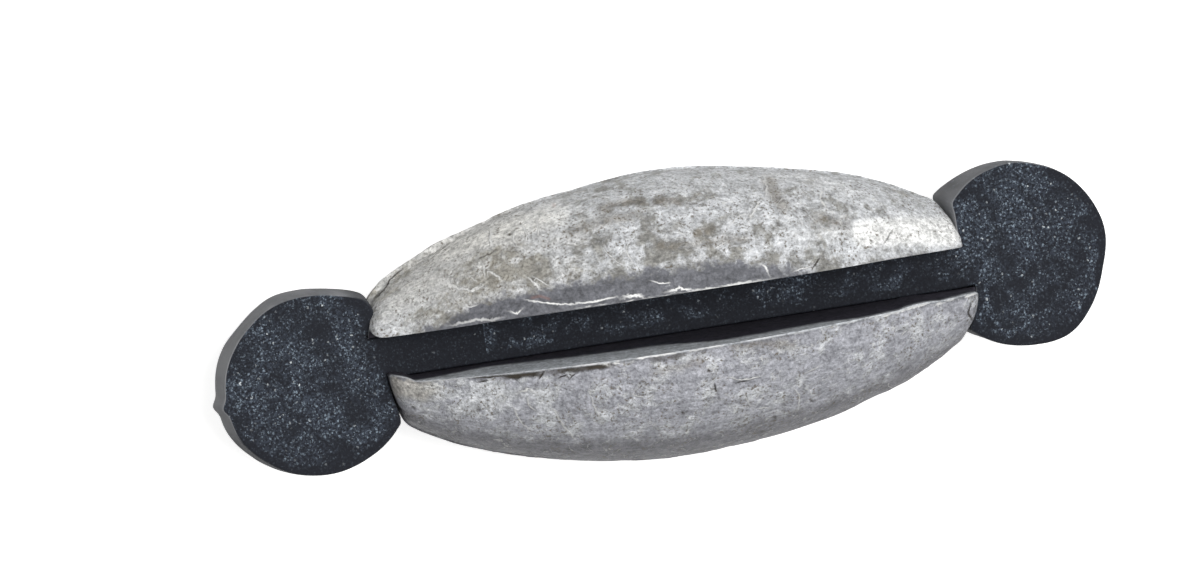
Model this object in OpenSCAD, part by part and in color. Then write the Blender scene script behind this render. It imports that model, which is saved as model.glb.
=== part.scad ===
// Twist-on fishing sinker: a cast lead spindle with a deep lengthwise slot, and a moulded
// rubber core that lies in the slot and ends in two flat round ears.
// A line is laid in the slot on top of the rubber. The ears are then twisted in opposite
// directions, so that the rubber winds the line up and holds it.
// X runs along the sinker, +Z is the open side of the slot, and Z 0 is the small flat on the
// round belly, which is what the sinker lies on.

/* [Lead body] */
// Length of the lead, from end face to end face
lead_len = 29; // [24:0.5:40]
// Diameter of the lead at its middle
lead_d = 13.75; // [12:0.25:18]
// Diameter that the outline would reach at the end faces if their edges were sharp
end_d = 6.4; // [5.4:0.1:7.5]
// Radius of the rounded edge between the outline and each end face
end_round = 1; // [0.4:0.1:1.3]
// How far the small flat on the belly is cut into the round outline
flat_depth = 0.15; // [0.05:0.05:0.4]

/* [Slot] */
// Width of the pocket that holds the rubber
slot_w = 2.1; // [1.6:0.05:2.6]
// Slope of each slot wall above the rubber, in degrees, opening upwards
slot_flare = 4; // [1:0.5:8]
// Radius of the rounded corners along the slot floor
floor_round = 0.3; // [0.1:0.05:0.5]

/* [Grip beads] */
// How far each bead reaches into the slot, over the edge of the rubber
bead_reach = 0.24; // [0.1:0.02:0.4]
// Radius of the bead, seen from above
bead_r = 0.8; // [0.6:0.05:1]
// Distance from the end face to the centre of the bead
bead_inset = 0.65; // [0.6:0.05:1.2]

/* [Parting line] */
// How far the thin fin left by the two mould halves stands out of the lead
fin_out = 0.12; // [0.06:0.02:0.3]
// Thickness of the fin
fin_t = 0.16; // [0.08:0.02:0.4]

/* [Rubber core] */
// Thickness of the rubber, alike in the slot and in the ears
rubber_t = 3.5; // [2.8:0.1:4.4]
// Gap between the rubber and each slot wall
side_gap = 0.04; // [0.02:0.01:0.1]
// Height of the rubber's underside above the slot floor
floor_gap = 0.04; // [0.02:0.01:0.1]
// Radius of the long edges of the rubber in the slot
core_round = 0.25; // [0.1:0.05:0.5]

/* [Ears] */
// Diameter of each ear
ear_d = 9.2; // [8:0.1:12]
// Distance from the lead's end face to the centre of the ear
ear_reach = 3.25; // [2.8:0.05:4]
// How far the soft left ear has settled to one side of the sinker's axis, towards +Y
left_aside = -0.9; // [-1.1:0.1:1.1]
// The same for the right ear
right_aside = 0.2; // [-1.1:0.1:1.1]
// Radius of the rounded rim of the ear, on both faces
ear_round = 0.3; // [0.1:0.05:0.6]
// Gap that lets an ear turn clear of the lead's end face
turn_gap = 0.1; // [0.05:0.01:0.2]

/* [Hidden] */

arc_fn = 180;
edge_fn = 48;

// How far a cutting tool passes the surface that it cuts
overrun = 1;

lead_r = lead_d / 2;
half_len = lead_len / 2;
ear_r = ear_d / 2;

// The sinker's axis, the middle of the lead and of the rubber, above the belly's flat
axis_z = lead_r - flat_depth;

// The outline is one circular arc: its rise from the end to the middle gives its radius
arc_rise = (lead_d - end_d) / 2;
arc_r = (pow(half_len, 2) + pow(arc_rise, 2)) / (2 * arc_rise);
// Distance from the axis back to the arc's centre, on the far side
arc_back = arc_r - lead_r;

// Centre of the rounding that touches both the arc, from inside, and the end face
round_along = half_len - end_round;
round_out = sqrt(pow(arc_r - end_round, 2) - pow(round_along, 2)) - arc_back;
// Place along the axis where the rounding meets the arc
meet_along = round_along * arc_r / (arc_r - end_round);

// Heights in the slot, measured from the axis
core_top = rubber_t / 2;
core_bottom = -rubber_t / 2;
slot_floor = core_bottom - floor_gap;
mouth_height = lead_r + overrun;

slot_half = slot_w / 2;
mouth_half = slot_half + (mouth_height - core_top) * tan(slot_flare);

core_w = slot_w - 2 * side_gap;

// The rubber passes the lead's end faces by the gap that the ears turn in, and each ear
// has a flat there that meets it
ear_flat = half_len + turn_gap;
ear_centre = half_len + ear_reach;

bead_along = half_len - bead_inset;

// Places its children, drawn around the axis, at the axis's real height
module at_axis() {
    translate([0, 0, axis_z]) children();
}

// Half of the lead's outline, the axis on Y, grown outwards from the arc by a given amount
module lead_outline(grow) {
    intersection() {
        translate([-arc_back, 0])
            circle(r = arc_r + grow, $fn = arc_fn);
        translate([0, -meet_along])
            square([lead_r + grow, 2 * meet_along]);
    }
    translate([0, -half_len])
        square([round_out, lead_len]);
    for (side = [-1, 1])
        translate([round_out, side * round_along])
            circle(r = end_round + grow, $fn = edge_fn);
}

// The full round spindle, before the slot
module spindle() {
    rotate([0, 90, 0])
        rotate_extrude($fn = arc_fn)
            lead_outline(0);
}

// The thin fin on both sides of the spindle, where the mould halves met, cut off at the
// end faces
module parting_fin() {
    translate([0, 0, -fin_t / 2])
        linear_extrude(fin_t)
            intersection() {
                for (side = [0, 1])
                    mirror([0, side])
                        rotate(90)
                            mirror([0, 1])
                                lead_outline(fin_out);
                square([lead_len, 2 * lead_d], center = true);
            }
}

// Section of the slot, Y across and Z up: a straight pocket for the rubber with rounded
// floor corners, and walls that open above it
module slot_section() {
    corner = slot_floor + floor_round;
    for (side = [-1, 1])
        translate([side * (slot_half - floor_round), corner])
            circle(r = floor_round, $fn = edge_fn);
    translate([floor_round - slot_half, slot_floor])
        square([slot_w - 2 * floor_round, floor_round]);
    translate([-slot_half, corner])
        square([slot_w, core_top - corner]);
    polygon([
        [-slot_half, core_top],
        [slot_half, core_top],
        [mouth_half, mouth_height],
        [-mouth_half, mouth_height]
    ]);
}

// Runs a section, drawn with Y across and Z up, along X for a given length
module along_x(length) {
    rotate([90, 0, 90])
        translate([0, 0, -length / 2])
            linear_extrude(length)
                children();
}

// One upright bead, standing on the level of the rubber's top and cut by the outside
module grip_bead(end, side) {
    wall = slot_half + bead_r - bead_reach;
    intersection() {
        spindle();
        translate([end * bead_along, side * wall, core_top + floor_gap])
            cylinder(r = bead_r, h = lead_r, $fn = edge_fn);
    }
}

// What the flat on the belly takes off the spindle
module belly_cut() {
    translate([-half_len, -lead_r, -axis_z - lead_r])
        cube([lead_len, lead_d, lead_r]);
}

module lead_body() {
    color("#b4b2ad")
        at_axis() {
            difference() {
                union() {
                    spindle();
                    parting_fin();
                }
                along_x(lead_len + 2 * overrun)
                    slot_section();
                belly_cut();
            }
            for (end = [-1, 1], side = [-1, 1])
                grip_bead(end, side);
        }
}

// Section of the rubber in the slot, with its four long edges rounded
module core_section() {
    square([core_w - 2 * core_round, rubber_t], center = true);
    square([core_w, rubber_t - 2 * core_round], center = true);
    for (side = [-1, 1], level = [-1, 1])
        translate([side * (core_w / 2 - core_round), level * (core_top - core_round)])
            circle(r = core_round, $fn = edge_fn);
}

module rubber_core() {
    color("#26292d")
        at_axis()
            along_x(2 * ear_flat)
                core_section();
}

// A round puck with rounded rims, centred on the origin
module puck() {
    rim = ear_r - ear_round;
    rotate_extrude($fn = arc_fn) {
        translate([0, core_bottom])
            square([rim, rubber_t]);
        translate([0, core_bottom + ear_round])
            square([ear_r, rubber_t - 2 * ear_round]);
        for (level = [-1, 1])
            translate([rim, level * (core_top - ear_round)])
                circle(r = ear_round, $fn = edge_fn);
    }
}

// One ear at the +X end, settled to one side: the puck, cut flat where it faces the lead
module ear(aside) {
    color("#2b2f34")
        at_axis()
            intersection() {
                translate([ear_centre, aside, 0])
                    puck();
                translate([ear_flat, -ear_d, -ear_d])
                    cube([2 * ear_d, 2 * ear_d, 2 * ear_d]);
            }
}

module left_ear() {
    mirror([1, 0, 0])
        ear(left_aside);
}

module right_ear() {
    ear(right_aside);
}

lead_body();
rubber_core();
left_ear();
right_ear();
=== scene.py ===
"""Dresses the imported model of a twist-on fishing sinker.

The sinker is a cast lead spindle with a deep lengthwise slot, and a moulded rubber core that lies
in the slot and ends in two flat round ears. The lead's surface, the rubber and the studio are made
here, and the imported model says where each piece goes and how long, wide and high it is.

Lengths are in millimetres until a mesh is written in metres. X runs along the sinker, +Z is the
open side of the slot, and heights of a piece are taken from the sinker's axis.
"""

import logging
import math
from dataclasses import dataclass, field
from enum import Enum

import bpy
import numpy as np
from mathutils import Matrix, Vector


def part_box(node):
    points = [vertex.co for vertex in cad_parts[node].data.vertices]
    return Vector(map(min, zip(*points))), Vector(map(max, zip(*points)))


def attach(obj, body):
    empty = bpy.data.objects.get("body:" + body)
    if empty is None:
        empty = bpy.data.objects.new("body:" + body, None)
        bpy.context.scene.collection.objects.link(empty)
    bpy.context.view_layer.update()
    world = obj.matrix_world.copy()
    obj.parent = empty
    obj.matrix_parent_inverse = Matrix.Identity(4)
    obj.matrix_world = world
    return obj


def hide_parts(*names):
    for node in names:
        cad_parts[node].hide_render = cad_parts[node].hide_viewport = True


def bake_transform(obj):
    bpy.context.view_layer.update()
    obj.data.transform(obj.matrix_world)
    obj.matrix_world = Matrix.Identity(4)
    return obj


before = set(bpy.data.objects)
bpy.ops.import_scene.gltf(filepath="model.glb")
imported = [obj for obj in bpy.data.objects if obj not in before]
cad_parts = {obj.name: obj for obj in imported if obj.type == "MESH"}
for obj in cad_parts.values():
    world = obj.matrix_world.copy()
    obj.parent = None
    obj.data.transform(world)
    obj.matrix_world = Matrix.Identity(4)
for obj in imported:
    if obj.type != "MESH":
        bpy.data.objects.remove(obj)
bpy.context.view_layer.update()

log = logging.getLogger("sinker")

MM = 0.001
QUARTER = math.pi / 2
# Edges that turn by more than this many degrees are shaded as sharp
SHARP_DEG = 50


def axis_height() -> float:
    """Returns the height of the sinker's axis, which runs through the middle of the rubber."""
    low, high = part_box("rubber_core")
    return (low[2] + high[2]) / 2 / MM


class End(Enum):
    """An end of the sinker, by the sign of its X."""

    LEFT = -1
    RIGHT = 1


class Lobe(Enum):
    """A side of the slot, by the sign of its Y."""

    FAR = 1
    NEAR = -1


class Mark(Enum):
    """A kind of mark that the photograph shows, by the name of its attribute."""

    CREST = "crest"
    CRACK = "crack"
    PIT = "pit"
    STAIN = "stain"
    RUST = "rust"
    PALE = "pale"
    DUST = "dust"


def ease(value: np.ndarray) -> np.ndarray:
    """Returns a smooth step: 0 up to 0, 1 from 1, and 3 v squared less 2 v cubed between."""
    held = np.clip(value, 0.0, 1.0)
    return held * held * (3 - 2 * held)


def bump(distance: np.ndarray, width: np.ndarray | float) -> np.ndarray:
    """Returns a rounded hump: e to the power of minus the square of distance over width."""
    return np.exp(-((distance / width) ** 2))


class SeededNoise:
    """Smooth random values in space that are the same on each run."""

    TABLE = 256
    FULL_RANGE = 1.6

    def __init__(self, seed: int) -> None:
        """Draws the table of slopes.

        Args:
            seed: The number that the draw starts from.
        """
        chooser = np.random.default_rng(seed)
        self.order = chooser.permutation(self.TABLE)
        slopes = chooser.normal(size=(self.TABLE, 3))
        self.slopes = slopes / np.linalg.norm(slopes, axis=1, keepdims=True)

    def at(self, points: np.ndarray, size: float) -> np.ndarray:
        """Gradient noise: each corner of a cube of the lattice has a slope, and the slopes' values
        at a point are mixed with the weight 6 t^5 - 15 t^4 + 10 t^3 along each side.

        Args:
            points: Places, as rows of three.
            size: Side of the lattice's cubes, in the points' unit.

        Returns:
            A value from about -1 to 1 for each point.
        """
        scaled = points / size
        cell = np.floor(scaled).astype(int)
        part = scaled - cell
        share = part**3 * (part * (6 * part - 15) + 10)
        total = np.zeros(len(points))
        for corner in np.ndindex(2, 2, 2):
            spot = (cell + corner) % self.TABLE
            code = self.order[spot[:, 0]]
            code = self.order[(code + spot[:, 1]) % self.TABLE]
            code = self.order[(code + spot[:, 2]) % self.TABLE]
            weight = np.where(corner, share, 1 - share).prod(axis=1)
            total += weight * np.einsum("ij,ij->i", self.slopes[code], part - corner)
        return self.FULL_RANGE * total

    def layers(self, points: np.ndarray, size: float, count: int) -> np.ndarray:
        """Sums layers of noise, each half the size and half the strength of the one before.

        Args:
            points: Places, as rows of three.
            size: Size of the largest layer.
            count: Number of layers.

        Returns:
            A value from about -1 to 1 for each point.
        """
        shares = 0.5 ** np.arange(count)
        total = sum(share * self.at(points, size * share) for share in shares)
        return total / math.sqrt(float((shares**2).sum()))

    def ridges(self, points: np.ndarray, size: float) -> np.ndarray:
        """Returns narrow crests, 1 where the noise of that size crosses 0 and 0 well off it."""
        return np.maximum(1 - 4 * np.abs(self.at(points, size)), 0) ** 2


@dataclass
class Surface:
    """A closed mesh as arrays: places in millimetres, and faces of four or three corners."""

    places: np.ndarray
    quads: np.ndarray
    triangles: np.ndarray
    marks: dict[str, np.ndarray] = field(default_factory=dict)

    def normals(self) -> np.ndarray:
        """Works out unit normals: at each vertex, the sum of the area vectors of its faces.

        Returns:
            A normal for each vertex.
        """
        total = np.zeros_like(self.places)
        for faces in (self.quads, self.triangles):
            corners = self.places[faces]
            area = np.cross(corners[:, 2] - corners[:, 0], corners[:, -1] - corners[:, 1])
            for column in faces.T:
                np.add.at(total, column, area)
        return total / np.maximum(np.linalg.norm(total, axis=1, keepdims=True), 1e-12)

    def volume(self) -> float:
        """Works out the volume inside: a sixth of the sum, over all triangles, of the product of
        one corner with the cross product of the others.

        Returns:
            The volume, which is negative if the faces point inwards.
        """
        fans = [self.quads[:, :3], self.quads[:, [0, 2, 3]], self.triangles]
        corners = self.places[np.concatenate(fans)]
        turned = np.cross(corners[:, 1], corners[:, 2])
        return float(np.einsum("ij,ij->i", corners[:, 0], turned).sum() / 6)

    def face_outwards(self) -> None:
        """Turns every face round if they point inwards."""
        if self.volume() < 0:
            self.quads = self.quads[:, ::-1]
            self.triangles = self.triangles[:, ::-1]

    def to_object(self, name: str, finish: bpy.types.Material) -> bpy.types.Object:
        """Writes the mesh, in metres and from the axis's height, with its marks as attributes.

        Args:
            name: Name of the object and of its mesh.
            finish: Its material.

        Returns:
            The new object, at the origin.
        """
        mesh = bpy.data.meshes.new(name)
        lifted = (self.places + [0.0, 0.0, axis_height()]) * MM
        mesh.from_pydata(lifted.tolist(), [], [*self.quads.tolist(), *self.triangles.tolist()])
        for mark, values in self.marks.items():
            kind, key = ("FLOAT_VECTOR", "vector") if values.ndim == 2 else ("FLOAT", "value")
            layer = mesh.attributes.new(mark, kind, "POINT")
            layer.data.foreach_set(key, values.astype(np.float32).ravel())
        mesh.materials.append(finish)
        mesh.shade_smooth()
        mesh.set_sharp_from_angle(angle=math.radians(SHARP_DEG))
        mesh.update()
        made = bpy.data.objects.new(name, mesh)
        bpy.context.scene.collection.objects.link(made)
        return made


def linear(colour: str) -> tuple[float, float, float, float]:
    """Turns an sRGB colour to linear.

    Args:
        colour: The colour as hex, such as #8090a0.

    Returns:
        Red, green, blue and alpha.
    """
    parts = np.array([int(colour[k : k + 2], 16) for k in (1, 3, 5)]) / 255
    bright = np.where(parts <= 0.04045, parts / 12.92, ((parts + 0.055) / 1.055) ** 2.4)
    return (*bright.tolist(), 1.0)


def add_node(
    tree: bpy.types.NodeTree,
    kind: str,
    inputs: dict | None = None,
    output: str | int = 0,
    **settings: object,
) -> bpy.types.NodeSocket | None:
    """Adds a shader node.

    Args:
        tree: The material's or the world's tree.
        kind: The node's type, without ShaderNode.
        inputs: A value, or a socket to link from, for each input's name or number.
        output: Name or number of the output that is wanted.
        settings: The node's own properties.

    Returns:
        That output, or None for a node that has none.
    """
    made = tree.nodes.new("ShaderNode" + kind)
    for name, value in settings.items():
        setattr(made, name, value)
    for name, value in (inputs or {}).items():
        if isinstance(value, bpy.types.NodeSocket):
            tree.links.new(value, made.inputs[name])
        else:
            made.inputs[name].default_value = value
    return made.outputs[output] if made.outputs else None


def new_material(name: str) -> bpy.types.Material:
    """Makes a material with an empty node tree.

    Args:
        name: Its name.

    Returns:
        The material.
    """
    made = bpy.data.materials.new(name)
    made.use_nodes = True
    made.node_tree.nodes.clear()
    return made


@dataclass(frozen=True)
class Grain:
    """A noise pattern: the size of its largest features in millimetres, how many finer layers it
    has and how strong they are, how far it is warped, and how it is stretched along X.
    """

    size: float
    detail: float
    rough: float
    warp: float
    stretch: float = 1.0


@dataclass(frozen=True)
class CastLead:
    """Lead as poured into a steel mould and left to dull: a soft grey metal under a thin, pale
    and patchy skin of oxide. The eye sees a satin grey that is mottled at every size, whitish
    where the skin is thick, dark and smoother where the metal lay against the mould's core.
    Light and shade are painted into the colour too: shade deep in the slot and low on the near
    flank, a shadow under the near lip, a sheen on the slot's walls, a highlight along the lips,
    and paler tone towards the far side and the right end, whitest as a highlight there.
    """

    metal: str = "#8f8e8a"
    cool: str = "#a9aab1"
    skin: str = "#d0d2d5"
    # Painted highlight, at the far lobe's right end
    painted_highlight: str = "#f6f6f4"
    cream: str = "#bdb6a6"
    brown: str = "#70685b"
    # Painted shade on the near flank's lower side
    painted_flank_shade: str = "#6b6b70"
    slate: str = "#626368"
    # A painted sheen on the slot's walls below the lip
    painted_wall_sheen: str = "#bcc0c4"
    # Painted shadow under the near lip; cracks and pits take this dark colour too
    crevice: str = "#3b362f"
    # Painted shade deep in the slot
    painted_slot_shade: str = "#3a3840"
    crest: str = "#f0f0ee"
    rust: str = "#9a5a3c"
    # Patches of oxide are some 1.3 mm across, and the blotches in them 0.4 mm
    cloud: Grain = Grain(1.3, 9.0, 0.72, 0.25)
    blotch: Grain = Grain(0.42, 6.0, 0.7, 0.2)
    # The skin's grit is about 0.05 mm, too fine to show, and is drawn 0.14 mm wide
    grit: Grain = Grain(0.14, 3.0, 0.65, 0.0)
    # Ripples of the chilling metal lie 1.3 mm apart, as thin pale lines
    vein: Grain = Grain(1.3, 4.0, 0.55, 0.9)
    # Drag lines from the mould are 0.3 mm apart and 2 mm long
    streak: Grain = Grain(0.3, 4.0, 0.6, 0.2, stretch=0.15)
    relief_mm: float = 0.18

    def material(self) -> bpy.types.Material:
        """Builds the material from the marks on the mesh and from noise on Object coordinates.

        A step between two values of a noise, which lie near 0.5, gives ragged patches, and a step
        on its distance from 0.5 gives lines. The lip's edge and the scratches are lines too, drawn
        where an offset from them, kept on the mesh, is near 0.

        Returns:
            The material.
        """
        made = new_material("cast_lead_oxidised")
        tree = made.node_tree
        at = add_node(tree, "TexCoord", output="Object")
        value = {}
        for name in ("cloud", "blotch", "grit", "vein", "streak"):
            grain: Grain = getattr(self, name)
            mm = (grain.stretch / MM, 1 / MM, 1 / MM)
            scaled = add_node(tree, "VectorMath", {0: at, 1: mm}, operation="MULTIPLY")
            value[name] = add_node(
                tree,
                "TexNoise",
                {"Vector": scaled, "Scale": 1 / grain.size, "Detail": grain.detail,
                 "Roughness": grain.rough, "Distortion": grain.warp},
            )
        for name in ("pale", "cool", "painted_flank_shade", "band", "gap", "rim", "under", "painted_wall_sheen", "painted_slot_shade",
                     "cream", "stain", "rust", "pit", "crest", "crest_side", "crack",
                     "crack_side"):
            value[name] = add_node(tree, "Attribute", output="Fac", attribute_name=name)
        for name, first, factor, second in (
            ("bright", "pale", 0.12, "cloud"),
            ("edge", "blotch", 3.4, "band"),
            ("wear_and_painted_light", "blotch", 0.35, "gap"),
            ("dirt", "blotch", 0.9, "stain"),
            ("crest_side", "blotch", 5.0, "crest_side"),
            ("crack_side", "blotch", 4.0, "crack_side"),
        ):
            value[name] = add_node(
                tree, "Math", {0: value[first], 1: factor, 2: value[second]},
                operation="MULTIPLY_ADD",
            )
        for name, middle in (("vein", 0.5), ("crest_side", 2.5), ("crack_side", 2.0)):
            off = add_node(tree, "Math", {0: value[name], 1: middle}, operation="SUBTRACT")
            value[name + "_off"] = add_node(tree, "Math", {0: off}, operation="ABSOLUTE")

        # Shares of the layers: each rises from 0 at low to its top at high
        share = {}
        for name, source, low, high, top in (
            ("skin", "bright", 0.46, 0.60, 0.95),
            # A painted highlight where the pale mark is strongest
            ("painted_highlight", "pale", 0.9, 1.9, 0.9),
            ("band", "edge", 1.3, 2.3, 1.0),
            ("matt", "edge", 2.3, 1.3, 1.0),
            ("dirt", "dirt", 0.45, 1.0, 0.6),
            ("vein", "vein_off", 0.014, 0.003, 0.5),
            ("pale_here", "cloud", 0.47, 0.55, 1.0),
            ("speck", "grit", 0.44, 0.36, 0.9),
            ("speck_here", "vein", 0.45, 0.58, 1.0),
            # White wear with a painted highlight along the lips
            ("lip", "wear_and_painted_light", 0.07, 0.14, 1.0),
            ("lip_out", "wear_and_painted_light", 0.29, 0.21, 1.0),
            ("lip_here", "streak", 0.44, 0.54, 0.9),
            # A painted shadow under the near lip
            ("under", "gap", 0.05, 0.13, 1.0),
            ("under_out", "wear_and_painted_light", 0.58, 0.40, 1.0),
            ("crest", "crest_side_off", 0.85, 0.15, 0.95),
            ("crack", "crack_side_off", 0.8, 0.2, 1.0),
        ):
            share[name] = add_node(
                tree,
                "MapRange",
                {"Value": value[source], "From Min": low, "From Max": high, "To Max": top},
                interpolation_type="SMOOTHSTEP",
            )
        for name, others in (
            ("vein", (share["pale_here"], share["matt"])),
            ("speck", (share["speck_here"], share["matt"])),
            ("lip", (share["lip_out"], share["lip_here"], value["rim"])),
            ("under", (share["under_out"], value["under"])),
            ("crest", (value["crest"],)),
            ("crack", (value["crack"],)),
        ):
            for other in others:
                share[name] = add_node(
                    tree, "Math", {0: share[name], 1: other}, operation="MULTIPLY"
                )

        # Colours laid over each other, toned by the noises, then the marks on top
        colour = linear(self.metal)
        for over, part in (
            (self.cool, value["cool"]),
            (self.skin, share["skin"]),
            # A painted highlight
            (self.painted_highlight, share["painted_highlight"]),
            (self.cream, value["cream"]),
            (self.brown, share["dirt"]),
            # Painted shade low on the near flank
            (self.painted_flank_shade, value["painted_flank_shade"]),
            (self.slate, share["band"]),
            # A painted sheen on the slot's walls
            (self.painted_wall_sheen, value["painted_wall_sheen"]),
            # Painted shade deep in the slot
            (self.painted_slot_shade, value["painted_slot_shade"]),
        ):
            colour = add_node(
                tree, "Mix", {0: part, 6: colour, 7: linear(over)}, 2, data_type="RGBA"
            )
        for name, low, high in (("blotch", 0.55, 1.45), ("grit", 0.65, 1.35),
                                ("streak", 0.80, 1.20)):
            tone = add_node(
                tree,
                "MapRange",
                {"Value": value[name], "From Min": 0.3, "From Max": 0.7, "To Min": low,
                 "To Max": high},
            )
            colour = add_node(
                tree, "VectorMath", {0: colour, "Scale": tone}, operation="SCALE"
            )
        for over, part in (
            (self.brown, share["speck"]),
            (self.crest, share["vein"]),
            # White wear with a painted highlight along the lips
            (self.crest, share["lip"]),
            # A painted shadow under the near lip
            (self.crevice, share["under"]),
            (self.rust, value["rust"]),
            (self.crest, share["crest"]),
            (self.crevice, share["crack"]),
            (self.crevice, value["pit"]),
        ):
            colour = add_node(
                tree, "Mix", {0: part, 6: colour, 7: linear(over)}, 2, data_type="RGBA"
            )

        height = value["blotch"]
        for part, rise in (
            (value["grit"], 0.35),
            (share["skin"], 0.10),
            (share["vein"], 0.20),
            (share["crest"], 0.45),
            (share["crack"], -0.6),
            (share["under"], -0.4),
        ):
            height = add_node(
                tree, "Math", {0: part, 1: rise, 2: height}, operation="MULTIPLY_ADD"
            )
        strength = add_node(tree, "MapRange", {"Value": share["matt"], "To Min": 0.2})
        normal = add_node(
            tree,
            "Bump",
            {"Height": height, "Strength": strength, "Distance": self.relief_mm * MM},
        )
        rough = add_node(
            tree, "MapRange", {"Value": share["skin"], "To Min": 0.5, "To Max": 0.64}
        )
        shader = add_node(
            tree,
            "BsdfPrincipled",
            {"Base Color": colour, "Metallic": 0.12, "Roughness": rough,
             "Specular IOR Level": 0.25, "Normal": normal},
        )
        add_node(tree, "OutputMaterial", {"Surface": shader})
        return made


@dataclass(frozen=True)
class MouldedRubber:
    """Natural rubber filled with carbon black, moulded in a rough steel mould and dusted. The eye
    sees a nearly black, faintly blue matt skin, sown with pale specks of dust and bloom that
    gather in clusters, and side walls that shine grey at a low angle, a sheen painted into
    their colour where they face the light.
    """

    body: str = "#14161d"
    # A painted sheen: the grey of the ears' walls where they face the light
    wall: str = "#a0a1a4"
    haze: str = "#3a414c"
    speck: str = "#8795a2"
    fleck: str = "#e2e9ec"
    warp_mm: float = 0.2
    warp_size: float = 0.11
    # Dust gathers in clusters 1.3 mm across
    cluster: Grain = Grain(1.3, 6.0, 0.65, 0.5)
    # The mould's roughness is some 0.03 mm, too fine to show, and is drawn 0.12 mm wide
    skin: Grain = Grain(0.12, 3.0, 0.65, 0.0)
    relief_mm: float = 0.03

    def material(self) -> bpy.types.Material:
        """Builds the material on the places kept as the mesh's rest attribute.

        Specks are the middles of the cells of a Voronoi pattern, one in each cell, and most cells
        have theirs dimmed by chance. Their outlines are warped by a fine noise.

        Returns:
            The material.
        """
        made = new_material("black_rubber_moulded")
        tree = made.node_tree
        mm = add_node(tree, "Attribute", output="Vector", attribute_name="rest")
        wall = add_node(tree, "Attribute", output="Fac", attribute_name="wall")
        dust = add_node(tree, "Attribute", output="Fac", attribute_name="dust")
        noise = {}
        for name in ("cluster", "skin"):
            grain: Grain = getattr(self, name)
            noise[name] = add_node(
                tree,
                "TexNoise",
                {"Vector": mm, "Scale": 1 / grain.size, "Detail": grain.detail,
                 "Roughness": grain.rough, "Distortion": grain.warp},
            )
        shift = add_node(
            tree,
            "TexNoise",
            {"Vector": mm, "Scale": 1 / self.warp_size, "Detail": 2.0},
            output="Color",
        )
        warped = add_node(
            tree,
            "VectorMath",
            {0: shift, 1: (self.warp_mm,) * 3, 2: mm},
            operation="MULTIPLY_ADD",
        )
        thick = add_node(
            tree, "Math", {0: dust, 1: 0.16, 2: noise["cluster"]}, operation="MULTIPLY_ADD"
        )
        gather = add_node(
            tree,
            "MapRange",
            {"Value": thick, "From Min": 0.40, "From Max": 0.66, "To Min": 0.10},
            interpolation_type="SMOOTHSTEP",
        )
        haze = add_node(
            tree,
            "MapRange",
            {"Value": noise["skin"], "From Min": 0.40, "From Max": 0.62, "To Max": 0.9},
            interpolation_type="SMOOTHSTEP",
        )
        haze = add_node(tree, "Math", {0: haze, 1: gather}, operation="MULTIPLY")
        layers = [(self.haze, haze)]
        # Specks are 0.1 to 0.16 mm wide. Each layer has the size of a cell in mm, a speck's
        # radius as a share of it, and the share of cells without one
        for over, cell, reach, rare in (
            (self.speck, 0.11, 0.50, 0.35),
            (self.speck, 0.19, 0.42, 0.50),
            (self.fleck, 0.24, 0.30, 0.86),
            (self.fleck, 0.44, 0.17, 0.80),
        ):
            dots = add_node(
                tree, "TexVoronoi", {"Vector": warped, "Scale": 1 / cell}, output="Distance"
            )
            spot = add_node(
                tree,
                "MapRange",
                {"Value": dots, "From Min": reach, "From Max": reach * 0.3},
                interpolation_type="SMOOTHSTEP",
            )
            chance = add_node(tree, "SeparateColor", {0: dots.node.outputs["Color"]})
            lit = add_node(tree, "MapRange", {"Value": chance, "From Min": rare})
            share = add_node(tree, "Math", {0: spot, 1: lit}, operation="MULTIPLY")
            share = add_node(tree, "Math", {0: share, 1: gather}, operation="MULTIPLY")
            layers.append((over, share))
        colour = linear(self.body)
        # The wall mark paints a grey sheen on the ears' walls that face the light
        for over, share in (*layers, (self.wall, wall)):
            colour = add_node(
                tree, "Mix", {0: share, 6: colour, 7: linear(over)}, 2, data_type="RGBA"
            )
        normal = add_node(
            tree,
            "Bump",
            {"Height": noise["skin"], "Strength": 0.7, "Distance": self.relief_mm * MM},
        )
        shader = add_node(
            tree,
            "BsdfPrincipled",
            {"Base Color": colour, "Roughness": 0.75, "IOR": 1.52, "Specular IOR Level": 0.18,
             "Normal": normal},
        )
        add_node(tree, "OutputMaterial", {"Surface": shader})
        return made


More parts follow.
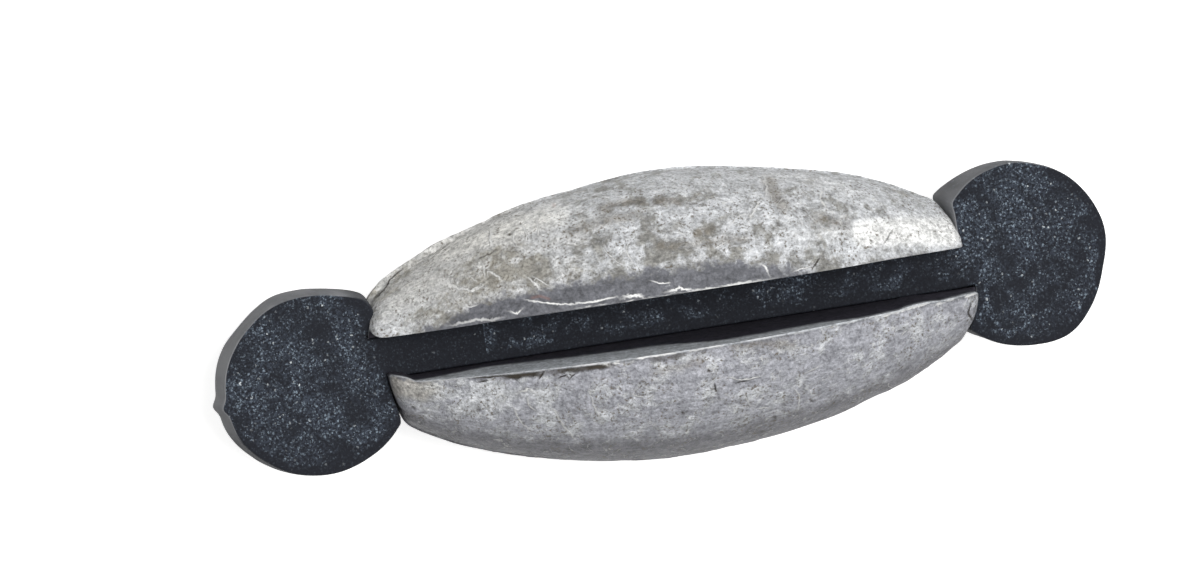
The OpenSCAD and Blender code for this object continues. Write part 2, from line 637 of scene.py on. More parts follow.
@dataclass
class Studio:
    """A plain white table, a soft lamp and a camera at the photograph's angle."""

    frame_px: tuple[int, int] = (1200, 570)
    axis_px: tuple[float, float] = (669.0, 309.4)
    px_per_mm: float = 20.3
    lean_far_deg: float = 5.88
    lean_left_deg: float = 8.34
    roll_deg: float = 8.83
    distance: float = 400.0
    sensor: float = 36.0
    lamp_at: tuple[float, float, float] = (120.0, 70.0, 580.0)
    lamp_size: float = 260.0
    lamp_watts: float = 2.5
    # The room is brightest in this direction and dimmest in the opposite one
    sky_way: tuple[float, float, float] = (0.1, 0.65, 0.7)
    sky_dim: float = 0.05
    sky_bright: float = 0.82
    card: str = "#f4f4f3"
    card_glow: float = 0.65
    dim_card: str = "#404040"
    card_half: float = 1500.0

    def axes(self) -> tuple[Vector, Vector, Vector]:
        """Works out how the camera stands: it looks down along a direction that leans to the left
        end and to the far side, rolled so that the sinker rises to the right.

        Returns:
            Its right, its up, and the direction from the sinker to it.
        """
        lean = (-math.tan(math.radians(self.lean_left_deg)),
                math.tan(math.radians(self.lean_far_deg)), 1.0)
        towards = Vector(lean).normalized()
        along = (Vector((1, 0, 0)) - towards.x * towards).normalized()
        across = towards.cross(along)
        roll = math.radians(self.roll_deg)
        right = math.cos(roll) * along - math.sin(roll) * across
        up = math.sin(roll) * along + math.cos(roll) * across
        return right, up, towards

    def place(self) -> Vector:
        """Works out where the camera stands, set aside so that the sinker's centre lands on its
        pixel.

        Returns:
            Its place from the sinker's centre.
        """
        right, up, towards = self.axes()
        aside = (self.axis_px[0] - self.frame_px[0] / 2) / self.px_per_mm
        below = (self.axis_px[1] - self.frame_px[1] / 2) / self.px_per_mm
        return self.distance * towards - aside * right + below * up

    def pixels(self, places: np.ndarray) -> np.ndarray:
        """Finds where places land in the photograph: their offsets to the camera's right and up,
        over their depth, times its distance in pixels.

        Args:
            places: Places from the sinker's centre.

        Returns:
            Pixels across and down.
        """
        right, up, towards = (np.array(axis) for axis in self.axes())
        seen = places - np.array(self.place())
        scale = self.px_per_mm * self.distance / -(seen @ towards)
        across = self.frame_px[0] / 2 + scale * (seen @ right)
        return np.stack([across, self.frame_px[1] / 2 - scale * (seen @ up)], axis=-1)

    def camera(self) -> None:
        """Makes the scene's camera."""
        data = bpy.data.cameras.new("camera")
        data.sensor_width = self.sensor
        data.lens = self.sensor * self.distance * self.px_per_mm / self.frame_px[0]
        data.clip_start, data.clip_end = 10 * MM, 10.0
        made = bpy.data.objects.new("camera", data)
        turned = Matrix(self.axes()).transposed().to_4x4()
        turned.translation = (self.place() + Vector((0, 0, axis_height()))) * MM
        made.matrix_world = turned
        bpy.context.scene.collection.objects.link(made)
        bpy.context.scene.camera = made

    def lamp(self) -> None:
        """Hangs a square soft lamp over the sinker, facing it."""
        data = bpy.data.lights.new("key_lamp", "AREA")
        data.size = self.lamp_size * MM
        data.energy = self.lamp_watts
        made = bpy.data.objects.new("key_lamp", data)
        made.location = Vector(self.lamp_at) * MM
        made.rotation_mode = "QUATERNION"
        made.rotation_quaternion = (-Vector(self.lamp_at)).to_track_quat("-Z", "Y")
        bpy.context.scene.collection.objects.link(made)

    def shown(self, tree: bpy.types.NodeTree) -> bpy.types.NodeSocket:
        """Finds whether a ray shows the surface to the camera, by itself or in a reflection.

        Args:
            tree: The tree of the material or the world that needs it.

        Returns:
            A socket that is 1 for such a ray, and else 0.
        """
        seen = add_node(tree, "LightPath", output="Is Camera Ray")
        rays = seen.node.outputs
        for ray in ("Is Glossy Ray", "Is Transmission Ray"):
            seen = add_node(tree, "Math", {0: seen, 1: rays[ray]}, operation="MAXIMUM")
        return seen

    def world(self) -> None:
        """Fills the room with a soft light that comes mostly from the far side and from above,
        and hardly from the near side and below. The camera and reflections see it white.
        """
        made = bpy.data.worlds.new("studio")
        made.use_nodes = True
        tree = made.node_tree
        tree.nodes.clear()
        way = add_node(tree, "TexCoord", output="Generated")
        lean = add_node(
            tree, "VectorMath", {0: way, 1: self.sky_way}, "Value", operation="DOT_PRODUCT"
        )
        strength = add_node(
            tree,
            "MapRange",
            {"Value": lean, "From Min": -0.3, "From Max": 1.0, "To Min": self.sky_dim,
             "To Max": self.sky_bright},
        )
        strength = add_node(
            tree, "Math", {0: strength, 1: self.shown(tree)}, operation="MAXIMUM"
        )
        sky = add_node(tree, "Background", {"Color": (1, 1, 1, 1), "Strength": strength})
        add_node(tree, "OutputWorld", {"Surface": sky})
        bpy.context.scene.world = made

    def floor(self) -> None:
        """Makes the table top, which shows white to the camera and in reflections but keeps the
        sinker's soft shadow, and gives back only a little light.
        """
        mesh = bpy.data.meshes.new("table_top")
        corners = np.array([(-1, -1, 0), (1, -1, 0), (1, 1, 0), (-1, 1, 0)])
        mesh.from_pydata((corners * self.card_half * MM).tolist(), [], [(0, 1, 2, 3)])
        made = bpy.data.objects.new("table_top", mesh)
        bpy.context.scene.collection.objects.link(made)
        material = new_material("white_card")
        tree = material.node_tree
        pale = add_node(tree, "BsdfDiffuse", {"Color": linear(self.card)})
        dim = add_node(tree, "BsdfDiffuse", {"Color": linear(self.dim_card)})
        glow = add_node(tree, "Emission", {"Color": (1, 1, 1, 1), "Strength": self.card_glow})
        both = add_node(tree, "AddShader", {0: pale, 1: glow})
        mixed = add_node(tree, "MixShader", {0: self.shown(tree), 1: dim, 2: both})
        add_node(tree, "OutputMaterial", {"Surface": mixed})
        mesh.materials.append(material)

    def build(self) -> None:
        """Sets up the table, the lamp, the room and the camera."""
        self.floor()
        self.lamp()
        self.world()
        self.camera()
        bpy.context.scene.view_settings.view_transform = "Standard"


@dataclass(frozen=True)
class Stroke:
    """A mark that the photograph shows, drawn as a line through a few of its pixels. A line
    tapers to its ends, and a single point is a spot.
    """

    mark: Mark
    width: float
    strength: float
    points: list[tuple[float, float]]

    def trace(
        self, pixels: np.ndarray
    ) -> tuple[np.ndarray, np.ndarray, np.ndarray, np.ndarray]:
        """Finds the places near the line and how they lie to it.

        Args:
            pixels: Where the places land in the photograph.

        Returns:
            The rows of those places, and for each its distance from the line, its offset to one
            side (the cross product of the line's direction with the way to the place), and its
            place along the line as 4 s (1 - s), which is 0 at both ends and 1 in the middle.
        """
        line = np.array(self.points if self.points[1:] else self.points * 2, dtype=float)
        reach = 5 * self.width
        inside = (pixels > line.min(axis=0) - reach) & (pixels < line.max(axis=0) + reach)
        rows = np.flatnonzero(inside.all(axis=1))
        step = np.diff(line, axis=0)
        long = np.maximum(np.linalg.norm(step, axis=1), 1e-6)
        away = pixels[rows, None] - line[:-1]
        part = np.clip((away * step).sum(-1) / long**2, 0, 1)
        gap = np.linalg.norm(away - part[..., None] * step, axis=-1)
        best = gap.argmin(axis=1)
        pick = (np.arange(len(rows)), best)
        across = (step[:, 0] * away[..., 1] - step[:, 1] * away[..., 0]) / long
        run = np.append(0, long.cumsum())
        along = (run[best] + part[pick] * long[best]) / run[-1]
        return rows, gap[pick], across[pick], 4 * along * (1 - along)


CREST, CRACK, PIT, STAIN, RUST, PALE, DUST = Mark


def stroke_rows(mark: Mark, *rows: tuple) -> tuple[Stroke, ...]:
    """Makes the strokes of one mark from rows of a width, a strength and the points."""
    return tuple(Stroke(mark, width, strength, points) for width, strength, *points in rows)


LEAD_STROKES = (
    *stroke_rows(
        CREST,
        (2.2, 1.0, (492, 247), (490, 238), (492, 228)),
        (1.8, 1.0, (518, 224), (524, 228), (527, 236), (525, 243)),
        (1.5, 0.8, (517, 246), (513, 239), (515, 230)),
        (2.0, 1.0, (537, 219), (538, 230), (541, 238)),
        (2.0, 1.0, (482, 264), (485, 271), (484, 277)),
        (2.4, 1.0, (487, 270), (495, 274), (501, 280)),
        (2.4, 1.0, (451, 285), (460, 289), (470, 291), (478, 288), (483, 284)),
        (1.4, 0.8, (470, 277), (478, 282)),
        (2.4, 1.0, (527, 277), (534, 284), (539, 288)),
        (1.8, 1.0, (532, 276), (541, 281), (549, 285)),
        (1.4, 1.0, (527, 300), (536, 302), (553, 303), (560, 305), (575, 304)),
        (1.4, 1.0, (575, 304), (590, 302), (602, 300), (615, 297)),
        (1.5, 1.0, (511, 312), (516, 314), (521, 310)),
        (1.3, 0.8, (464, 305), (470, 308), (477, 305)),
        (2.2, 0.6, (452, 325), (470, 321), (500, 318)),
        (1.3, 1.0, (604, 249), (610, 256), (619, 263)),
        (1.5, 1.0, (628, 244), (626, 252), (632, 261)),
        (1.6, 1.0, (622, 226), (626, 228)),
        (1.6, 1.0, (570, 243), (576, 244)),
        (1.3, 1.0, (653, 281), (660, 283), (669, 282)),
        (2.6, 1.0, (625, 297), (634, 295), (643, 297)),
        (2.0, 1.0, (668, 291), (680, 288), (691, 290)),
        (2.4, 1.0, (750, 219), (754, 211), (760, 200)),
        (2.4, 0.8, (765, 196), (767, 186), (764, 177)),
        (1.6, 0.6, (730, 226), (738, 216), (749, 212)),
        (2.4, 1.0, (762, 265), (767, 272)),
        (1.5, 0.8, (716, 248), (725, 242)),
        (2.0, 0.8, (821, 188), (821, 200), (827, 208)),
        (1.4, 1.0, (796, 271), (806, 268), (813, 265)),
        (3.0, 1.0, (426, 388), (434, 385), (443, 388)),
        (2.6, 1.0, (519, 392), (528, 389), (533, 391)),
        (1.4, 0.8, (527, 397), (529, 405), (535, 410)),
        (1.8, 0.7, (513, 407), (520, 420), (528, 429)),
        (2.0, 0.7, (553, 409), (560, 420), (568, 432), (576, 441)),
        (2.0, 0.6, (590, 389), (593, 405), (601, 419)),
        (1.4, 0.6, (479, 399), (489, 409)),
        (1.3, 0.6, (494, 401), (500, 394), (507, 397), (503, 403)),
        (2.6, 1.0, (601, 362), (607, 365)),
        (2.2, 1.0, (612, 363), (621, 364)),
        (1.8, 1.0, (796, 326), (800, 330)),
        (1.6, 1.0, (836, 319), (846, 319)),
        (1.6, 1.0, (730, 378), (738, 379), (748, 379), (759, 376)),
        (1.6, 0.7, (794, 389), (800, 396), (798, 407)),
        (1.8, 0.7, (759, 408), (769, 408)),
        (1.5, 0.6, (744, 394), (751, 406)),
        (1.8, 0.7, (632, 394), (643, 396)),
        (1.6, 0.6, (805, 373), (819, 366)),
    ),
    *stroke_rows(
        CRACK,
        (1.5, 1.0, (813, 268), (816, 264), (820, 258)),
        (1.6, 1.0, (539, 379), (544, 372)),
        (1.3, 1.0, (465, 377), (482, 378), (500, 376), (512, 376), (517, 380)),
        (1.3, 1.0, (478, 383), (488, 381)),
        (1.4, 1.0, (559, 378), (567, 375)),
        (1.2, 1.0, (570, 378), (575, 374)),
        (1.2, 1.0, (737, 382), (747, 381)),
        (1.3, 1.0, (714, 384), (717, 392)),
        (1.2, 0.6, (884, 244), (889, 236), (893, 229)),
        (1.4, 1.0, (971, 303), (968, 312), (971, 320)),
        (1.0, 0.4, (449, 245), (436, 253), (412, 264)),
        # A painted shadow along the step where the lower mould half stands out
        (1.5, 1.0, (373, 300), (385, 288), (390, 280), (402, 269)),
        (1.4, 0.6, (496, 251), (486, 256), (478, 260)),
    ),
    *stroke_rows(
        PIT,
        (1.6, 1.0, (510, 234)),
        (1.6, 1.0, (413, 407)),
        (1.8, 1.0, (478, 410)),
        (1.6, 1.0, (683, 413)),
        (1.2, 1.0, (688, 412)),
        (1.7, 1.0, (775, 418)),
        (1.5, 1.0, (812, 401)),
        (1.4, 1.0, (784, 405)),
        (1.3, 1.0, (872, 241)),
        (1.2, 1.0, (836, 191)),
        (1.4, 1.0, (709, 371)),
    ),
    *stroke_rows(
        STAIN,
        (6.0, 0.4, (735, 346), (760, 343), (792, 345)),
        (5.0, 0.3, (655, 372), (700, 362)),
        (7.0, 0.6, (769, 182), (775, 195), (783, 206)),
        (8.0, 0.4, (818, 219), (845, 224)),
        (4.0, 0.5, (600, 208), (622, 203), (643, 202)),
        (3.5, 0.6, (655, 203), (665, 200), (678, 203)),
        (4.0, 0.5, (696, 233), (713, 229)),
        (6.0, 0.4, (570, 232), (600, 222), (640, 214)),
        (5.0, 0.4, (660, 246), (700, 244), (745, 238)),
    ),
    *stroke_rows(
        RUST,
        (1.2, 0.3, (532, 298), (540, 296), (549, 299)),
        (1.8, 0.3, (554, 205)),
    ),
    # Pale oxide and painted light: these strokes lighten the lead, and the strongest, at the far
    # lobe's right end, is a painted highlight
    *stroke_rows(
        PALE,
        (17.0, 1.7, (865, 233), (900, 231), (950, 232)),
        (13.0, 0.9, (790, 236), (860, 234)),
        (20.0, 1.1, (385, 316), (402, 300), (430, 282)),
        (18.0, 0.4, (700, 215), (760, 195), (800, 195)),
        (14.0, 0.5, (560, 262), (590, 256), (640, 250)),
        (15.0, 1.3, (440, 256), (480, 240), (530, 222), (560, 215)),
        (5.0, 1.1, (376, 288), (400, 264), (430, 246), (446, 240)),
        (10.0, 0.5, (640, 178), (700, 174), (800, 178), (880, 200)),
        (16.0, 1.0, (420, 395), (480, 392), (540, 395)),
    ),
)

RUBBER_STROKES = (
    *stroke_rows(
        DUST,
        (14.0, 0.9, (285, 338), (300, 362)),
        (12.0, 0.9, (345, 340), (352, 365), (365, 392)),
        (15.0, 0.9, (293, 398), (330, 420)),
        (12.0, 0.7, (240, 380), (250, 405)),
        (14.0, 1.0, (1003, 195), (1015, 222), (1025, 246)),
        (14.0, 0.9, (955, 225), (972, 235), (985, 246)),
        (16.0, 0.4, (1060, 215), (1050, 240)),
        (2.2, 1.6, (984, 240), (986, 270), (987, 300), (994, 320), (1010, 336)),
        (2.0, 1.2, (1095, 238), (1092, 262), (1096, 288)),
        # This stroke takes dust away for a painted shadow at the right ear's lower left
        (12.0, -1.5, (975, 318), (985, 335)),
    ),
)


def draw_strokes(
    strokes: tuple[Stroke, ...], pixels: np.ndarray, seen: np.ndarray
) -> dict[str, np.ndarray]:
    """Draws strokes on the places that the photograph shows, the strongest on top.

    A broad mark is e to the power of minus the square of distance over width. A fine line is
    kept as a wide, soft share and an offset in widths, which stays straight between vertices, so
    that the material can draw the line sharper than the mesh.

    Args:
        strokes: The strokes.
        pixels: Where each place lands in the photograph.
        seen: Which places can be seen there.

    Returns:
        A value for each place, for each mark, and for the offset from each fine mark.
    """
    marks = {}
    shown = np.flatnonzero(seen)
    for stroke in strokes:
        name = stroke.mark.value
        total = marks.setdefault(name, np.zeros(len(pixels)))
        rows, gap, across, middle = stroke.trace(pixels[shown])
        rows = shown[rows]
        share = stroke.strength * bump(gap, stroke.width)
        if stroke.mark in (CREST, CRACK):
            side = marks.setdefault(name + "_side", np.full(len(pixels), 4.0))
            share = stroke.strength * (0.3 + 0.7 * np.sqrt(middle)) * bump(gap, 2.5 * stroke.width)
            over = share > total[rows]
            side[rows[over]] = np.clip(across[over] / stroke.width, -4, 4)
        total[rows] = np.maximum(total[rows], share)
    return marks


@dataclass(frozen=True)
class Tip:
    """One of the casting's four tips, beside an end of the slot: how far it stands out past the
    true end, how far its outer side falls back from there, and how round its corner at the slot
    is.
    """

    end: End
    lobe: Lobe
    stand: float
    fall: float
    corner: float


TIPS = (
    Tip(End.LEFT, Lobe.FAR, stand=0.70, fall=0.86, corner=0.60),
    Tip(End.LEFT, Lobe.NEAR, stand=-0.05, fall=0.62, corner=0.12),
    Tip(End.RIGHT, Lobe.FAR, stand=0.05, fall=0.42, corner=0.20),
    Tip(End.RIGHT, Lobe.NEAR, stand=0.52, fall=0.50, corner=0.40),
)


def end_moves(places: np.ndarray, start: float = 10.0, full: float = 15.0) -> np.ndarray:
    """Works out how far each place moves along X because the sinker's ends aren't cut square: on
    each lobe by the stand of its tip less its fall, which grows from the slot outwards, and less
    and less away from the end.

    Args:
        places: Places from the sinker's centre.
        start: Distance from the middle where the moves begin.
        full: Distance from the middle where they are whole.

    Returns:
        The move of each place.
    """
    x, y, _ = places.T
    moves = np.zeros(len(places))
    for tip in TIPS:
        side = tip.lobe.value * y
        here = ease((tip.end.value * x - start) / (full - start)) * ease(0.5 + side / 2.2)
        outer = np.clip((side - 1.1) / 1.9, 0, 1) ** 1.5
        moves += tip.end.value * here * (tip.stand - tip.fall * outer)
    return moves


@dataclass(frozen=True)
class Swell:
    """A place where a side of the casting is fuller than its true outline, or less full."""

    lobe: Lobe
    along: float
    width: float
    out: float


@dataclass(frozen=True)
class Bead:
    """An upright bead at the end of a slot wall, round as seen from above."""

    end: End
    lobe: Lobe
    inset: float
    radius: float
    reach: float


@dataclass
class LeadCasting:
    """The lead spindle: one circular arc turned about the axis, blunt rounded ends, a slot along
    it with upright grip beads at its ends, and a thin fin where the mould halves met.

    The real casting isn't true: its outside lies a little towards the near side of its slot, its
    sides swell, its tips aren't alike, and its lower mould half stood out at the far left. These
    offsets are small lengths of their own here.
    """

    studio: Studio
    length: float
    radius: float
    slot_half: float
    rubber_top: float
    belly: float
    end_radius: float = 3.25
    end_round: float = 1.0
    flare_deg: float = 3.7
    floor_gap: float = 0.04
    floor_round: float = 0.3
    beads: tuple[Bead, ...] = (
        Bead(End.LEFT, Lobe.NEAR, inset=0.1, radius=1.5, reach=0.34),
        Bead(End.RIGHT, Lobe.NEAR, inset=3.0, radius=5.0, reach=0.10),
    )
    swells: tuple[Swell, ...] = (
        Swell(Lobe.NEAR, 8.5, 6.0, 0.26),
        Swell(Lobe.NEAR, 11.8, 2.0, 0.15),
        Swell(Lobe.NEAR, -2.0, 4.5, 0.11),
        Swell(Lobe.FAR, -0.5, 3.4, 0.17),
        Swell(Lobe.FAR, 10.5, 2.0, 0.10),
        Swell(Lobe.FAR, -8.0, 2.5, 0.15),
        Swell(Lobe.FAR, -11.5, 3.0, -0.10),
    )
    fin_height: float = 0.12
    fin_width: float = 0.09
    lump_height: float = 0.05
    pit_depth: float = 0.08
    body_shift: float = -0.18
    mismatch: float = 0.36
    rows: int = 288
    lip_columns: int = 110
    fin_columns: int = 8
    belly_columns: int = 40
    slot_wall_columns: int = 27
    corner_columns: int = 5
    floor_columns: int = 5
    fin_zone_deg: float = 1.6

    @classmethod
    def from_frame(cls, studio: Studio) -> "LeadCasting":
        """Takes the casting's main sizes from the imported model's lead and rubber.

        Args:
            studio: The camera's angle, for the marks that the photograph shows.

        Returns:
            The casting.
        """
        low, high = (np.array(corner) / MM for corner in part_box("lead_body"))
        core_high = np.array(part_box("rubber_core")[1]) / MM
        return cls(
            studio,
            length=high[0] - low[0],
            radius=(high[1] - low[1]) / 2 - cls.fin_height,
            slot_half=core_high[1] + cls.floor_gap,
            rubber_top=core_high[2] - axis_height(),
            belly=low[2] - axis_height(),
        )

    def outline(self) -> tuple[np.ndarray, np.ndarray]:
        """Walks the outline at even steps: an arc whose rise from the end to the middle gives its
        radius, rise/2 + half length squared/(2 rise), then a rounding that touches it and the end
        face.

        Returns:
            The place along the axis and the distance from it, for each row of the grid.
        """
        half = self.length / 2
        rise = self.radius - self.end_radius
        arc = (half**2 + rise**2) / (2 * rise)
        back = arc - self.radius
        along = half - self.end_round
        out = math.sqrt((arc - self.end_round) ** 2 - along**2) - back
        turn = math.asin(along / (arc - self.end_round))
        on_arc = np.linspace(0, turn, 400)
        on_round = np.linspace(turn, QUARTER, 100)[1:]
        x = np.append(arc * np.sin(on_arc), along + self.end_round * np.sin(on_round))
        r = np.append(arc * np.cos(on_arc) - back, out + self.end_round * np.cos(on_round))
        run = np.append(0, np.hypot(np.diff(x), np.diff(r)).cumsum())
        steps = np.linspace(0, run[-1], self.rows // 2 + 1)
        x, r = np.interp(steps, run, x), np.interp(steps, run, r)
        return np.append(-x[:0:-1], x), np.append(r[:0:-1], r)

    def wall(self, x: np.ndarray, z: np.ndarray, lobe: Lobe) -> np.ndarray:
        """Half the slot's width: straight up to the rubber's top, then flared, rounded outwards at
        the tips, and narrowed by the round side of each bead.

        Args:
            x: Places along the axis.
            z: Heights from the axis.
            lobe: The side of the slot.

        Returns:
            The distance of the wall from the slot's middle plane.
        """
        half = self.length / 2
        above = np.maximum(z - self.rubber_top, 0)
        flared = self.slot_half + above * math.tan(math.radians(self.flare_deg))
        width = flared + 0 * x
        for tip in TIPS:
            if tip.lobe is lobe:
                past = np.clip((tip.end.value * x - half) / tip.corner + 1, 0, 1)
                rounded = tip.corner * (1 - np.sqrt(1 - past**2))
                width = width + rounded * ease((z - self.rubber_top) / 0.3)
        for bead in self.beads:
            if bead.lobe is lobe:
                along = x - bead.end.value * (half - bead.inset)
                side = np.sqrt(np.maximum(bead.radius**2 - along**2, 0))
                depth = np.maximum(side - (bead.radius - bead.reach), 0)
                width = width - depth * ease((z - self.rubber_top) / self.floor_gap)
        return width

    def lip(
        self, x: np.ndarray, r: np.ndarray, lobe: Lobe
    ) -> tuple[np.ndarray, np.ndarray]:
        """Finds where a slot wall meets the outside, by turns from the wall's width to the height
        of the outside there.

        Args:
            x: Places along the axis.
            r: The outline's distance from the axis.
            lobe: The side of the slot.

        Returns:
            Y and Z of the lip.
        """
        y = np.full_like(x, self.slot_half)
        for _ in range(24):
            z = np.sqrt(np.maximum(r**2 - (lobe.value * y - self.body_shift) ** 2, 0))
            y = self.wall(x, z, lobe)
        return lobe.value * y, z

    def grid(self) -> tuple[np.ndarray, dict[str, np.ndarray]]:
        """Lays out the casting as one closed ring of columns for each row along the axis: round
        the outside from the far lip to the near lip, then down and up the slot.

        Returns:
            Places, as rows by columns by three, and each place's angle from straight down on the
            outside, radius of the outline, distance from the far, the near and the nearest lip
            (below 0 in the slot), and whether it is outside.
        """
        x, r = self.outline()
        far_y, far_z = self.lip(x, r, Lobe.FAR)
        near_y, near_z = self.lip(x, r, Lobe.NEAR)
        far = np.arctan2(far_y - self.body_shift, -far_z)
        near = np.arctan2(near_y - self.body_shift, -near_z)
        zone = math.radians(self.fin_zone_deg)
        stops = [far, QUARTER + zone, QUARTER - zone, zone - QUARTER, -QUARTER - zone, near]
        counts = [self.lip_columns, self.fin_columns, self.belly_columns]
        counts += [self.fin_columns, self.lip_columns]
        angle = np.concatenate(
            [
                (stops[k] + 0 * x)[:, None]
                + np.arange(counts[k]) / counts[k] * ((stops[k + 1] - stops[k]) + 0 * x)[:, None]
                for k in range(5)
            ],
            axis=1,
        )
        outside = np.stack(
            [
                x[:, None] + 0 * angle,
                self.body_shift + r[:, None] * np.sin(angle),
                -r[:, None] * np.cos(angle),
            ],
            axis=-1,
        )
        slot = self.slot_columns(x, near_z, far_z)
        ring = np.concatenate([outside, slot], axis=1)
        wide = ((0, 0), (0, slot.shape[1]))
        far_gap = (far[:, None] - angle) * r[:, None]
        near_gap = (angle - near[:, None]) * r[:, None]
        lip_z = np.where(slot[..., 1] < 0, near_z[:, None], far_z[:, None])
        facts = {
            "angle": np.pad(angle, wide),
            "radius": r[:, None] + 0 * ring[..., 0],
            "far_gap": np.pad(far_gap, wide),
            "near_gap": np.pad(near_gap, wide),
            "gap": np.concatenate([np.minimum(far_gap, near_gap), slot[..., 2] - lip_z], axis=1),
            "outside": np.pad(np.ones_like(angle), wide),
        }
        return ring, facts

    def slot_columns(
        self, x: np.ndarray, near_z: np.ndarray, far_z: np.ndarray
    ) -> np.ndarray:
        """Lays out the slot's columns, from the near lip down to the floor and up to the far lip,
        which itself is the ring's first column.

        Args:
            x: Places along the axis.
            near_z: Height of the near lip.
            far_z: Height of the far lip.

        Returns:
            Places, as rows by columns by three.
        """
        floor = np.full_like(x, -self.rubber_top - self.floor_gap)
        corner = floor + self.floor_round
        down = np.arange(self.slot_wall_columns) / self.slot_wall_columns
        near_wall = near_z[:, None] + (corner - near_z)[:, None] * down
        far_wall = corner[:, None] + (far_z - corner)[:, None] * down
        turn = np.arange(self.corner_columns) / self.corner_columns * QUARTER
        inner = np.full_like(x, self.slot_half - self.floor_round)[:, None]
        across = np.arange(self.floor_columns) / self.floor_columns
        y = [
            -self.wall(x[:, None], near_wall, Lobe.NEAR),
            -inner - self.floor_round * np.cos(turn),
            -inner + 2 * inner * across,
            inner + self.floor_round * np.sin(turn),
            self.wall(x[:, None], far_wall, Lobe.FAR),
        ]
        z = [
            near_wall,
            corner[:, None] - self.floor_round * np.sin(turn),
            floor[:, None] + 0 * across,
            corner[:, None] - self.floor_round * np.cos(turn),
            far_wall,
        ]
        y, z = np.concatenate(y, axis=1), np.concatenate(z, axis=1)
        return np.stack([x[:, None] + 0 * y, y, z], axis=-1)

    def faces(self, rows: int, columns: int, outer: int) -> tuple[np.ndarray, np.ndarray]:
        """Joins the rings into faces, and closes each end face with a strip of triangles between
        the outside and the slot, as many steps outside as go into each step in the slot.

        Args:
            rows: Number of rings.
            columns: Number of places in a ring.
            outer: Number of those that are outside, a multiple of the rest.

        Returns:
            The faces of four corners, and those of three.
        """
        index = np.arange(rows * columns).reshape(rows, columns)
        beside = np.roll(index, -1, axis=1)
        quads = np.stack([index[:-1], beside[:-1], beside[1:], index[1:]], axis=-1).reshape(-1, 4)
        fan = outer // (columns - outer)
        step = np.arange(columns - outer)
        strips = []
        for row, way in ((0, 1), (rows - 1, -1)):
            ring = index[row]
            rim = [ring[outer - fan * step - k] for k in range(fan + 1)]
            slot_on, slot_next = ring[outer + step], ring[(outer + step + 1) % columns]
            strip = [np.stack([rim[k], rim[k + 1], slot_on], axis=-1) for k in range(fan)]
            strip.append(np.stack([rim[fan], slot_next, slot_on], axis=-1))
            strips.append(np.concatenate(strip)[:, ::way])
        triangles = np.concatenate(strips)
        whole = (triangles != np.roll(triangles, 1, axis=1)).all(axis=1)
        return quads, triangles[whole]

    def surface(self) -> Surface:
        """Builds the closed mesh with its lumps, fin, wrinkles and pits.

        Returns:
            The surface, with its marks.
        """
        ring, facts = self.grid()
        rows, columns = ring.shape[:2]
        outer = int(facts["outside"][0].sum())
        quads, triangles = self.faces(rows, columns, outer)
        made = Surface(ring.reshape(-1, 3), quads, triangles)
        made.face_outwards()
        facts = {name: values.ravel() for name, values in facts.items()}
        made.places = made.places + self.untrue(made.places, facts)
        seen = (facts["outside"] > 0) & (np.abs(facts["angle"]) > 0.97 * QUARTER)
        made.marks = self.stains_and_painted_light(made.places, facts)
        pixels = self.studio.pixels(made.places)
        for name, values in draw_strokes(LEAD_STROKES, pixels, seen).items():
            made.marks[name] = made.marks.get(name, 0) + values
        height = self.relief(made.places, facts, ease(made.marks["band"]))
        height -= self.pit_depth * made.marks["pit"]
        made.places = made.places + height[:, None] * made.normals()
        made.places[:, 2] = np.maximum(made.places[:, 2], self.belly)
        return made

    def untrue(self, places: np.ndarray, facts: dict[str, np.ndarray]) -> np.ndarray:
        """Works out how far the true casting's places are moved by its uneven tips, its swollen
        sides, and the lower mould half, which stood out on the far side at the left end.

        Args:
            places: The casting's true places.
            facts: What grid() says of each place.

        Returns:
            The moves, as rows of three.
        """
        angle = facts["angle"]
        # The lower half steps out just under the fin, and more and more from x -7.5 to -11.5
        lower = ease((QUARTER - angle) / math.radians(0.8)) * np.maximum(np.sin(angle), 0)
        left = ease((-7.5 - places[:, 0]) / 4)
        moves = np.zeros_like(places)
        moves[:, 0] = end_moves(places)
        moves[:, 1] = self.mismatch * left * lower
        for swell in self.swells:
            side = np.maximum(swell.lobe.value * np.sin(angle), 0)
            here = side * bump(places[:, 0] - swell.along, swell.width)
            moves[:, 1] += swell.lobe.value * swell.out * here
        moves[:, 1] *= facts["outside"]
        return moves

    def relief(
        self, places: np.ndarray, facts: dict[str, np.ndarray], smooth: np.ndarray
    ) -> np.ndarray:
        """Sums what stands out of the outline: long lumps, warped wrinkles, grain and the mould's
        fin.

        Args:
            places: The casting's places before the relief.
            facts: What grid() says of each place.
            smooth: 1 where the skin is smooth.

        Returns:
            The height of each place, along its normal.
        """
        coarse, flow, fine = SeededNoise(11), SeededNoise(12), SeededNoise(13)
        # The lips stay true over 0.6 mm. Wrinkles lie 0.9 to 1.5 mm apart, lumps 5 mm
        free = facts["outside"] * ease(facts["gap"] / 0.6)
        warp = np.stack([flow.layers(places + k * 17.0, 1.4, 2) for k in range(3)], axis=-1)
        bent = places * [0.75, 1, 1] + 0.3 * warp
        lumps = self.lump_height * coarse.layers(places, 5.0, 2)
        wrinkles = 0.02 * flow.ridges(bent, 1.5) + 0.025 * fine.layers(bent, 0.9, 3)
        off_fin = (np.abs(facts["angle"]) - QUARTER) * facts["radius"]
        wear_and_painted_light = 0.75 + 0.35 * coarse.at(places + 40.0, 2.4)
        fin = self.fin_height * wear_and_painted_light * bump(off_fin, self.fin_width)
        skin = free * (lumps + (1 - 0.85 * smooth) * wrinkles)
        return skin + facts["outside"] * fin

